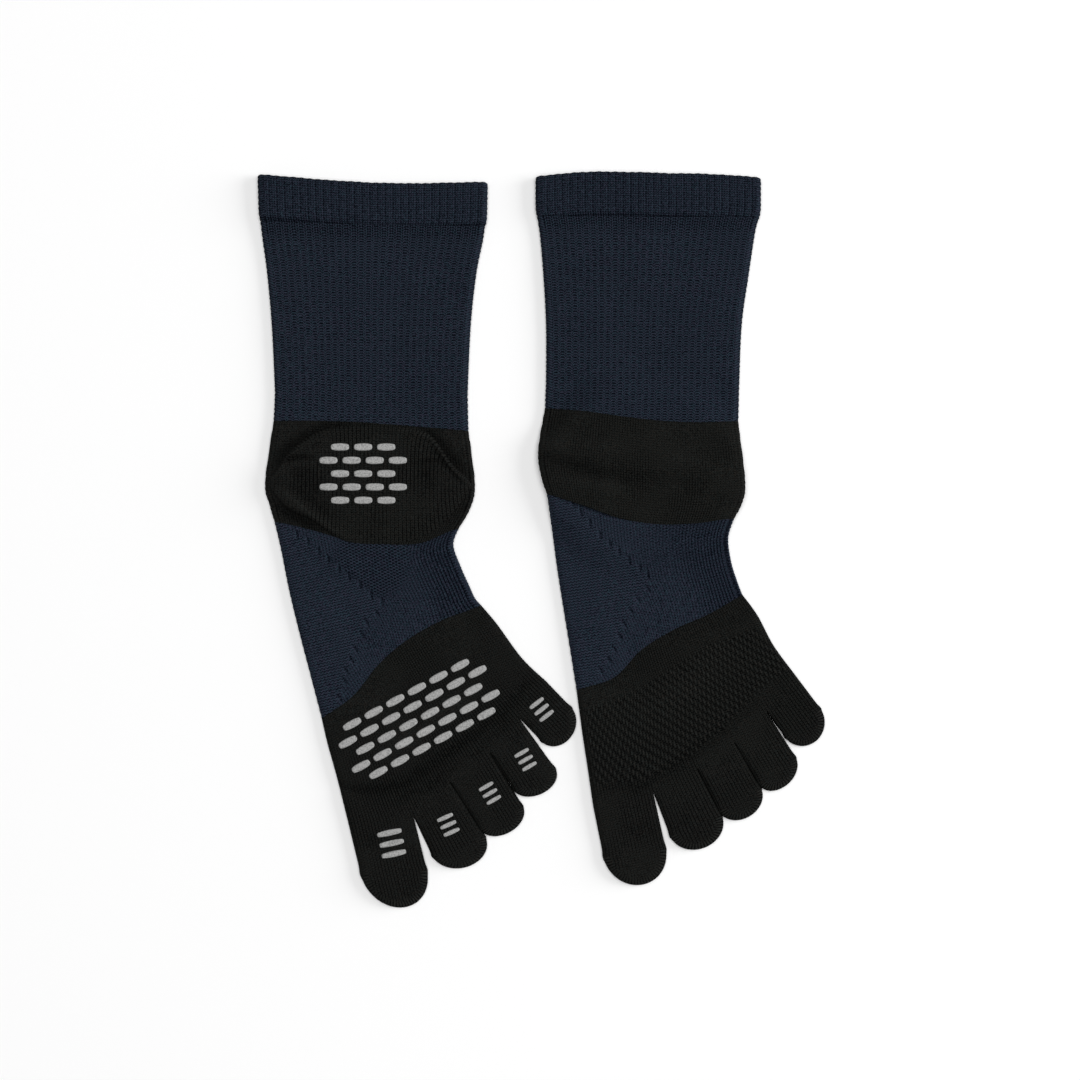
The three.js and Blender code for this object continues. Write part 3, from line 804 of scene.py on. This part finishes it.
ARCH_FINENESS = 0.68  # columns of stitches for each one of the plain knit
ARCH_HEIGHT = 3.2
AIRY = {"sole_up": ((-68, -9), (16, 15), 1.0), "instep_up": ((50, 2), (18, 12), 0.35)}
GROOVED = {"sole_up": (-66, -44), "instep_up": (40, 64)}
# Columns lean further where they come out from the lower marks: from this x to that one, and below this y.
LEANING = {"sole_up": (-40, -72, -20), "instep_up": (66, 34, -16)}


def arch_finish():
    finish = Finish("navy plain knit")
    u, v = finish.uv("Knit")
    # Before the marks, the stitches still run straight down from the leg.
    before_u, before_v = finish.uv("Leg knit")
    off, leg = stitches(before_u, before_v, BEFORE_COURSE, 0.42)
    rows = 0.31 + leg * 0.50 - off * 0.06
    # Beyond them, its columns follow the foot, and grooves part them on the outer side.
    u = u * ARCH_FINENESS
    off, leg = stitches(u, v, ARCH_COURSE, 0.45)
    slant = (u + v / ARCH_COURSE).wave()
    outer = finish.attribute("Outer")
    columns = 0.47 + leg * 0.20 + slant * 0.11 - off.rise(0.35, 0.95) * (0.20 + outer * 0.17) - outer * 0.07
    # Small holes let air through there, in staggered rows.
    x, y = (place / MM for place in finish.split(finish.node("TexCoord", output=3)))
    from_hole = (x * 0.385 - y * 0.778).from_middle() ** 2 + (x * 0.450 + y * 0.860).from_middle() ** 2
    airy = finish.attribute("Airy")
    columns = columns * (1 - airy) + (0.56 + leg * 0.06) * (1 - from_hole.rise(0.16, 0.05) * 0.85) * airy
    beyond = finish.attribute("Beyond marks").rise(-0.8, 0.8)
    yarn = rows * (1 - beyond) + columns * beyond
    # The marks themselves, each a slit with a raised lip on its left.
    aside, ahead = finish.uv("Marks")
    slit = ((aside / 0.62) ** 2 + (ahead / 1.8) ** 2).rise(1.9, 0.0)
    lip = (((aside + 1.0) / 0.9) ** 2 + (ahead / 1.9) ** 2).rise(1.6, 0.2)
    # Painted shade darkens the creases, and painted light brightens the ridges.
    yarn = yarn * (1 - slit * 0.52) + lip * 0.12 + finish.attribute("Crease shading") * 0.13
    return navy(finish, yarn, 0.00045)


def map_marks(mesh, sock, x, y):
    """Maps each face from the mark nearest to it, across and along that mark, and in the cloth before the
    marks. Then leans the columns beyond them."""
    corner, size = read(mesh.loops, "vertex_index", kind=int), read(mesh.polygons, "loop_total", kind=int)
    x, y = x[corner], y[corner]
    face = np.repeat(np.arange(len(size)), size)
    centre_x, centre_y = (np.bincount(face, k) / size for k in (x, y))
    mark_x, mark_y = np.array(MARKS[sock]).T
    nearest = np.argmin(np.hypot(centre_x[:, None] - mark_x, centre_y[:, None] - mark_y), axis=1)[face]
    tilt = np.where(nearest > TURN_MARK, MARK_TILTS[1], MARK_TILTS[0])
    from_x, from_y = x - mark_x[nearest], y - mark_y[nearest]
    aside = from_x * np.cos(tilt) + from_y * np.sin(tilt)
    ahead = from_y * np.cos(tilt) - from_x * np.sin(tilt)
    set_map(mesh, "Marks", (aside, ahead))
    turn = BEFORE_TURN[sock]
    sideways = x * math.cos(turn) + y * math.sin(turn)
    set_map(mesh, "Leg knit", (sideways / BEFORE_WALE, x * math.sin(turn) - y * math.cos(turn)))
    u, v = read(mesh.uv_layers["Knit"].uv, "vector", 2)
    right, left, top = LEANING[sock]
    set_map(mesh, "Knit", (u + 0.36 * np.minimum(0, y - top) * smooth(right, left, x), v))


ARCH_FINISH = arch_finish()
ARCHES = (("sole_up", 8, (0.136, 0.0515), WALE), ("instep_up", 9, (0.140, 0.0535), 1.21))
for sock, seed, flat, wale in ARCHES:
    shaping = soft_shaping(sock, seed, ARCH_CREASES[sock], PLAIN_HUMP)
    mesh = pressed_tube(ARCH_LINES[sock], PLAIN_RING, 84, shaping, wale=wale)
    arch = cloth(f"{sock}_arch_cloth", [mesh], ARCH_FINISH)
    paint_fold_highlights(arch)
    x, y, z = paint_crease_shading(arch, ARCH_CREASES[sock])[:3]
    away, side = near_route(x, y, MARKS[sock])[::2]
    paint(arch, "Beyond marks", away * side)
    well_beyond = smooth(0, 1.5, away * side)
    (centre_x, centre_y), (wide, high), strength = AIRY[sock]
    airy = smooth(1.25, 0.7, np.hypot((x - centre_x) / wide, (y - centre_y) / high))
    paint(arch, "Airy", strength * airy * well_beyond)
    within_fold = smooth(0.65, 0.97, z / ARCH_HEIGHT)
    paint(arch, "Outer", smooth(*GROOVED[sock], x + 0.5 * y) * well_beyond * within_fold)
    map_marks(arch.data, sock, x, y)
    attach(arch, "root")
    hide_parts(f"{sock}_arch")


# Forefeet. Black plain knit runs from the arch over the ball of the foot and on into five toe pockets, each
# knitted as a small tube of its own and closed round its tip. The instep side has a patch of tuck stitches
# that lets air through.
FOREFOOT_HEIGHT = 3.5
FOREFOOT_LINES = {
    "sole_up": [
        ARCH_LINES["sole_up"][-1],
        (-85.2, -81.6, -17.6, -33.6, 2.4, 0, -0.8, -1, 3.4),
        (-81, -96, -7.6, -47.2, 8, 6.4, 5.6, 3, 3.5),
        (-77.6, -108.8, 2, -56.4, 16.4, 12.8, 11.2, 6.8, 3.5),
    ],
    "instep_up": [
        ARCH_LINES["instep_up"][-1],
        (16.8, -79.2, 86.4, -30, 3.2, 1.6, 0.8, 0.6, 3.4),
        (19.2, -94, 93.2, -42.4, 6, 6.4, 5.6, 3.4, 3.5),
        (20.8, -104, 102.4, -54.8, 8.8, 10, 9, 5.4, 3.5),
    ],
}
# Where the toe pockets part from each other, and then each pocket's end: its left and right shoulder, and how
# far its rounded tip stands beyond them.
TOE_ROOTS = {
    "sole_up": [
        (-77.4, -111.2), (-50.8, -110.8), (-36.4, -96.4), (-20.6, -84.4), (-9, -70.8), (2, -56.4),
    ],
    "instep_up": [
        (20.8, -106), (44.7, -100.4), (62.2, -90.8), (77, -80.4), (89.9, -68.3), (101.6, -54),
    ],
}
TOE_ENDS = {
    "sole_up": [
        (-72, -133.6, -45.6, -131.6, 14.6),
        (-43.4, -126.4, -22.6, -118.4, 9),
        (-24, -115.6, -7.6, -106.4, 6.6),
        (-10.4, -100, 5.6, -91.2, 6.4),
        (0.2, -80.4, 12, -66.8, 7.8),
    ],
    "instep_up": [
        (25, -126.8, 49.8, -123.2, 13),
        (51.6, -118.4, 72, -110, 9.4),
        (71.4, -108.4, 87.6, -99.2, 7.6),
        (87.3, -97.6, 101.6, -86.8, 6.8),
        (97.6, -78.8, 111.5, -67.2, 9),
    ],
}
TOE_COLUMNS = (32, 26, 24, 24, 26)
# How far each side of a toe stands in from the line that parts it from the next, or over it where they press.
TOE_SLITS = {
    "sole_up": (0.0, 0.04, -0.22, -0.30, -0.02, 0.0),
    "instep_up": (0.0, 0.0, -0.20, -0.25, -0.10, 0.0),
}
FOREFOOT_CREASES = {
    "sole_up": [
        (0.90, 2, [(-80, -98.5), (-70, -100), (-56, -98), (-43, -89), (-29, -79), (-17, -70), (-6, -56)]),
        (0.45, 1.4, [(-92, -95), (-82, -97.5), (-76, -99.2), (-68, -100.2), (-60, -99.4)]),
        (0.45, 1.6, [(-60, -105), (-52, -101), (-44, -97)]),
        (-0.40, 4, [(-70, -90), (-50, -76), (-26, -58)]),
        (0.35, 2.6, [(-72, -118), (-64, -123), (-52, -122)]),
        (0.45, 1.8, [(-46, -100), (-38, -92), (-30, -86)]),
        (0.35, 1.8, [(-30, -90), (-22, -80), (-12, -72)]),
    ],
    "instep_up": [
        (0.60, 2.4, [(20, -99), (40, -98), (58, -87), (76, -73), (96, -55)]),
        (-0.30, 5, [(26, -76), (48, -66), (76, -44)]),
        (0.35, 2.2, [(28, -112), (38, -116), (48, -113)]),
    ],
}
RIM_PITCH = 1.35
# Where the columns of stitches part, between the ball of the foot and the toes.
BALL_STRETCHED = [(-79, -97), (-66, -101), (-50, -96), (-36, -84), (-20, -71), (-4, -58)]
# The patch of tuck stitches, by its corners.
TUCK_PATCH = [
    (17.6, -68.4), (40.4, -58.4), (64.8, -42.8), (85.2, -34.8), (98.4, -52), (89.2, -58.4), (72.8, -74.8),
    (60.8, -85.6), (42, -96), (21.6, -97.6),
]


def toe_table(sock):
    """Each toe's corners, tip, first column of stitches and number of them, and what stands at its sides."""
    roots, toes, first = np.array(TOE_ROOTS[sock]), [], 0
    for k, (*end, tip) in enumerate(TOE_ENDS[sock]):
        wales = np.linalg.norm(roots[k + 1] - roots[k]) / WALE
        # The columns of its grid are closer together towards its sides.
        even = np.linspace(-1, 1, TOE_COLUMNS[k] + 1)
        toes.append({
            "root": roots[k:k + 2],
            "end": np.reshape(end, (2, 2)),
            "tip": tip,
            "shares": 0.45 * even + 0.55 * np.sin(even * math.pi / 2),
            "first": first,
            "wales": wales,
            "outer": (k == 0, k == len(TOE_COLUMNS) - 1),
            "slits": TOE_SLITS[sock][k:k + 2],
        })
        first += wales
    return toes


def forefoot_bend(sock, x, y):
    return creases(x, y, FOREFOOT_CREASES[sock]) + 0.2 * waver(x, y, 28, 10)


def palm_mesh(sock, toes, rows=64):
    """The outer face from the arch to the toe roots, with a column for each column of the toes."""
    total = toes[-1]["first"] + toes[-1]["wales"]
    stitch, roots = [], []
    for toe in toes:
        share = (toe["shares"][:-1] + 1) / 2
        stitch.append(toe["first"] + toe["wales"] * share)
        roots.append(toe["root"][0] + (toe["root"][1] - toe["root"][0]) * share[:, None])
    stitch = np.concatenate([*stitch, [total]])
    roots = np.concatenate([*roots, toes[-1]["root"][1:]])
    upper = len(stitch) - 1
    mesh, column, row = grid_mesh(2 * upper, rows)
    on_top = column <= upper
    index = np.where(on_top, column, 2 * upper - column).astype(int)
    share = stitch[index] / total
    lines = FOREFOOT_LINES[sock]
    table = through(lines, row / rows * (len(lines) - 1))
    flat, width = across(table, share)
    last_line = through(lines, np.full(upper + 1, len(lines) - 1.0))
    to_roots = roots - across(last_line, stitch / total)[0]
    blend = smooth(0.35, 1, row / rows)
    x, y = (flat + to_roots[index] * blend[:, None]).T
    width = width * (1 - blend) + total * WALE * blend
    full = roundness(np.minimum(share, 1 - share) * width / SIDE_FOLD)
    z = table[:, 8] / 2 * (1 + np.where(on_top, full, -full))
    z = z + np.where(on_top, full * forefoot_bend(sock, x, y), 0)
    down = run_down(x, y, column, row)
    far = np.full_like(x, FAR)
    u = np.where(on_top, stitch[index], -stitch[index])
    lay_points(mesh, (x, y, z), {"Knit": (u, down), "Rim": (far, far)})
    last_row = (row == rows) & on_top
    return mesh, stitch[index[last_row]], down[last_row]


def toe_mesh(sock, k, toe, root_stitch, root_down, rows=26, tip_rows=34):
    """The outer face of one toe pocket, closed at its tip."""
    upper = len(toe["shares"]) - 1
    columns = 2 * upper + 2
    mesh, column, row = grid_mesh(columns, rows + tip_rows)
    on_top = (column <= upper) | (column == columns)
    index = np.where(column <= upper, column, np.maximum(columns - 1 - column, 0))
    # c runs from -1 on the toe's left side to 1 on its right.
    c = toe["shares"][index.astype(int)]
    body = np.clip(row / rows, 0, 1)
    angle = np.clip((row - rows) / tip_rows, 0, 1) * math.pi / 2
    left, right = (root + (end - root) * body[:, None] for root, end in zip(toe["root"], toe["end"]))
    axis = (toe["end"].sum(axis=0) - toe["root"].sum(axis=0)) / 2
    length = np.linalg.norm(axis)
    slit = np.where(c < 0, *toe["slits"]) * smooth(0, 0.25, body)
    half_span = (right - left) / 2
    reach = np.linalg.norm(half_span, axis=1)
    shoulder = 1 + 0.35 / reach * np.exp(-(((row - rows) / 2.5) ** 2))
    half_span = half_span * ((1 - slit / reach) * shoulder)[:, None]
    aside, beyond = c * np.cos(angle), toe["tip"] * np.sin(angle)
    x, y = ((left + right) / 2 + half_span * aside[:, None] + axis / length * beyond[:, None]).T
    # How deep each point lies in from the pocket's outline.
    round_reach = (reach + toe["tip"]) / 2
    in_tip = (1 - np.hypot(aside, np.sin(angle))) * round_reach
    depth = np.where(row > rows, in_tip, (1 - np.abs(c)) * reach)
    grown = smooth(0, 0.3, body)
    fold = SIDE_FOLD * np.where(np.where(c < 0, *toe["outer"]), 1, grown)
    full = np.where(fold > 0.01, roundness(depth / np.maximum(fold, 0.01)), 1)
    z = FOREFOOT_HEIGHT / 2 * (1 + np.where(on_top, full, -full))
    bend = forefoot_bend(sock, x, y) + 0.18 * grown * waver(x, y, 13, 11 + k)
    z = z + np.where(on_top, full * bend, 0)
    u = toe["first"] + toe["wales"] * (aside + 1) / 2
    v = np.interp(u, root_stitch, root_down) + body * length + beyond
    round_tip = np.arctan2(np.sin(angle), aside) * round_reach / RIM_PITCH
    maps = {"Knit": (np.where(on_top, u, -u), v), "Rim": (round_tip, np.where(row >= rows, depth, FAR))}
    lay_points(mesh, (x, y, z), maps)
    return mesh


def inside_patch(x, y, corners, blur):
    """1 inside a closed outline and 0 outside it, blurred over that many millimetres."""
    outline = corners + corners[:1]
    inside = np.zeros(x.shape, bool)
    for a, b in zip(outline, outline[1:]):
        crosses = (a[1] > y) != (b[1] > y)
        inside ^= crosses & (x < a[0] + (y - a[1]) / (b[1] - a[1]) * (b[0] - a[0]))
    nearest = near_route(x, y, outline)[0]
    return smooth(-blur, blur, np.where(inside, nearest, -nearest))


for sock, area in (("sole_up", 0.0153), ("instep_up", 0.0144)):
    toes = toe_table(sock)
    palm, stitch, down = palm_mesh(sock, toes)
    order = np.argsort(stitch)
    meshes = [palm, *(toe_mesh(sock, k, toe, stitch[order], down[order]) for k, toe in enumerate(toes))]
    forefoot = cloth(f"{sock}_forefoot_cloth", meshes, RIMMED_FINISH)
    x, y, _, on_top = paint_crease_shading(forefoot, FOREFOOT_CREASES[sock])
    if sock == "sole_up":
        paint(forefoot, "Stretched", -creases(x, y, [(0.9, 6.0, BALL_STRETCHED)]) * on_top)
    else:
        paint(forefoot, "Tuck", inside_patch(x, y, TUCK_PATCH, 1.2) * on_top)
    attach(forefoot, "root")
    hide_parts(f"{sock}_forefoot")


# Grip print. Soft grey silicone is printed on the sole-up sock's heel pocket, ball and toes and cured as low
# rounded bars, in rows like bricks, so that the foot doesn't slip. The weave shows faintly through it.
GRIP_HEIGHT = 0.24
GRIP_SUNK = 0.06
GRIP_GREY = (0.37, 0.37, 0.365, 1)
GRIP_DARK = (0.17, 0.17, 0.168, 1)


def grip_finish():
    finish = Finish("grey grip print", 0.62, 0.25)
    pores = finish.noise(1900, 1.0)
    weave = finish.noise(700, 1.0)
    shade = pores.rise(0.30, 0.62) * 0.8 + weave * 0.25
    return finish.finish(finish.mix(shade, GRIP_DARK, GRIP_GREY), pores * 0.6 + weave * 0.4, 0.00015)


GRIP_FINISH = grip_finish()


def turned_place(middle, degrees, along, aside):
    """The x and y of a place so far along and aside from a middle, in directions turned by those degrees."""
    ahead, across_it = math.cos(math.radians(degrees)), math.sin(math.radians(degrees))
    return (
        middle[0] + along * ahead - aside * across_it,
        middle[1] + along * across_it + aside * ahead,
    )


def grip_bars(name, bars, under):
    """Low rounded bars on a piece of cloth. Each has a middle, a turn in degrees, a length and a width."""
    cloth_shape, joined = bmesh.new(), bmesh.new()
    cloth_shape.from_mesh(bpy.data.objects[under].data)
    tree = BVHTree.FromBMesh(cloth_shape)
    cloth_shape.free()
    for middle, degrees, length, width in bars:
        for upper in (True, False):
            added = bmesh.ops.create_grid(joined, x_segments=16, y_segments=6, size=1)["verts"]
            for vert in added:
                a, b = vert.co.x, vert.co.y
                along = (length - width) / 2 * a + width / 2 * a * math.sqrt(1 - b * b / 2)
                aside = width / 2 * b * math.sqrt(1 - a * a / 2)
                x, y = turned_place(middle, degrees, along, aside)
                hit = tree.ray_cast(Vector((x * MM, y * MM, 1.0)), Vector((0, 0, -1)))[0]
                full = float(roundness((1 - max(abs(a), abs(b))) * 3)) * upper
                vert.co = Vector((x, y, hit.z / MM - GRIP_SUNK + GRIP_HEIGHT * full)) * MM
            if not upper:
                faces = {face for vert in added for face in vert.link_faces}
                bmesh.ops.reverse_faces(joined, faces=list(faces))
    bmesh.ops.remove_doubles(joined, verts=joined.verts, dist=0.002 * MM)
    piece = piece_from(joined, name, GRIP_FINISH)
    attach(piece, "root")


def bricks(middle, degrees, per_row, pitch, row_pitch, length, width):
    """Bars in rows like bricks, with as many in each row as per_row says."""
    bars = []
    for row, count in enumerate(per_row):
        for place in range(count):
            along = (place - (count - 1) / 2) * pitch
            aside = ((len(per_row) - 1) / 2 - row) * row_pitch
            bars.append((turned_place(middle, degrees, along, aside), degrees, length, width))
    return bars


GRIPS = [
    # Name, the cloth beneath, and groups of bars: their middle, their turn in degrees, how many each row has,
    # from bar to bar, from row to row, length, width.
    ("heel_grips", "sole_up_heel_pocket_cloth", [((-70.8, 26.4), 0, (3, 4, 3, 4, 3), 9.2, 5.3, 7.6, 3.3)]),
    ("ball_grips", "sole_up_forefoot_cloth", [((-48.6, -71.4), 28.5, (6, 7, 6, 7, 6), 9.8, 5.5, 8.3, 3.4)]),
    ("toe_grips", "sole_up_forefoot_cloth", [
        ((-59.6, -121), 12, (1, 1, 1), 0, 4.3, 10.4, 2.7),
        ((-37, -113.6), 24, (1, 1, 1), 0, 3.2, 7.2, 2),
        ((-20.4, -101), 30, (1, 1, 1), 0, 3.1, 6.8, 1.9),
        ((-6.2, -87.6), 30, (1, 1, 1), 0, 3.1, 6.8, 1.9),
        ((0.2, -67.6), 38, (1, 1, 1), 0, 3.2, 7.2, 2),
    ]),
]
for name, under, groups in GRIPS:
    grip_bars(name, [bar for group in groups for bar in bricks(*group)], under)


# The surface, the light and the camera. A white table, lit evenly from all round and softly from the right,
# and seen from straight above.
FLOOR_SIZE = 3.0
PHOTO_PIXEL = 0.4
PHOTO_WIDTH = 1080 * PHOTO_PIXEL * MM
LENS = 100
SENSOR = 36
white = Finish("white table", 0.9, 0.1)
white.shader.inputs["Base Color"].default_value = (0.93, 0.93, 0.93, 1)
floor_shape = bmesh.new()
bmesh.ops.create_grid(floor_shape, x_segments=1, y_segments=1, size=FLOOR_SIZE / 2)
piece_from(floor_shape, "floor", white.material)

world = bpy.data.worlds.new("studio")
bpy.context.scene.world = world
world.use_nodes = True
world.node_tree.nodes["Background"].inputs["Color"].default_value = (1, 1, 1, 1)
world.node_tree.nodes["Background"].inputs["Strength"].default_value = 0.10


def softbox(name, place, size, watts):
    light = bpy.data.lights.new(name, "AREA")
    light.shape = "SQUARE"
    light.size = size
    light.energy = watts
    lamp = bpy.data.objects.new(name, light)
    bpy.context.scene.collection.objects.link(lamp)
    lamp.location = place
    lamp.rotation_euler = (-Vector(place)).to_track_quat("-Z", "Y").to_euler()


softbox("softbox above", (0.15, 0.3, 4.8), 3.6, 208)
softbox("softbox right", (3.75, 0.60, 1.38), 2.4, 118)

camera_data = bpy.data.cameras.new("camera")
camera_data.lens = LENS
camera_data.sensor_width = SENSOR
camera = bpy.data.objects.new("camera", camera_data)
bpy.context.scene.collection.objects.link(camera)
camera.location = (-PHOTO_PIXEL * MM, 0, PHOTO_WIDTH * LENS / SENSOR)
bpy.context.scene.camera = camera
bpy.context.scene.view_settings.view_transform = "Standard"
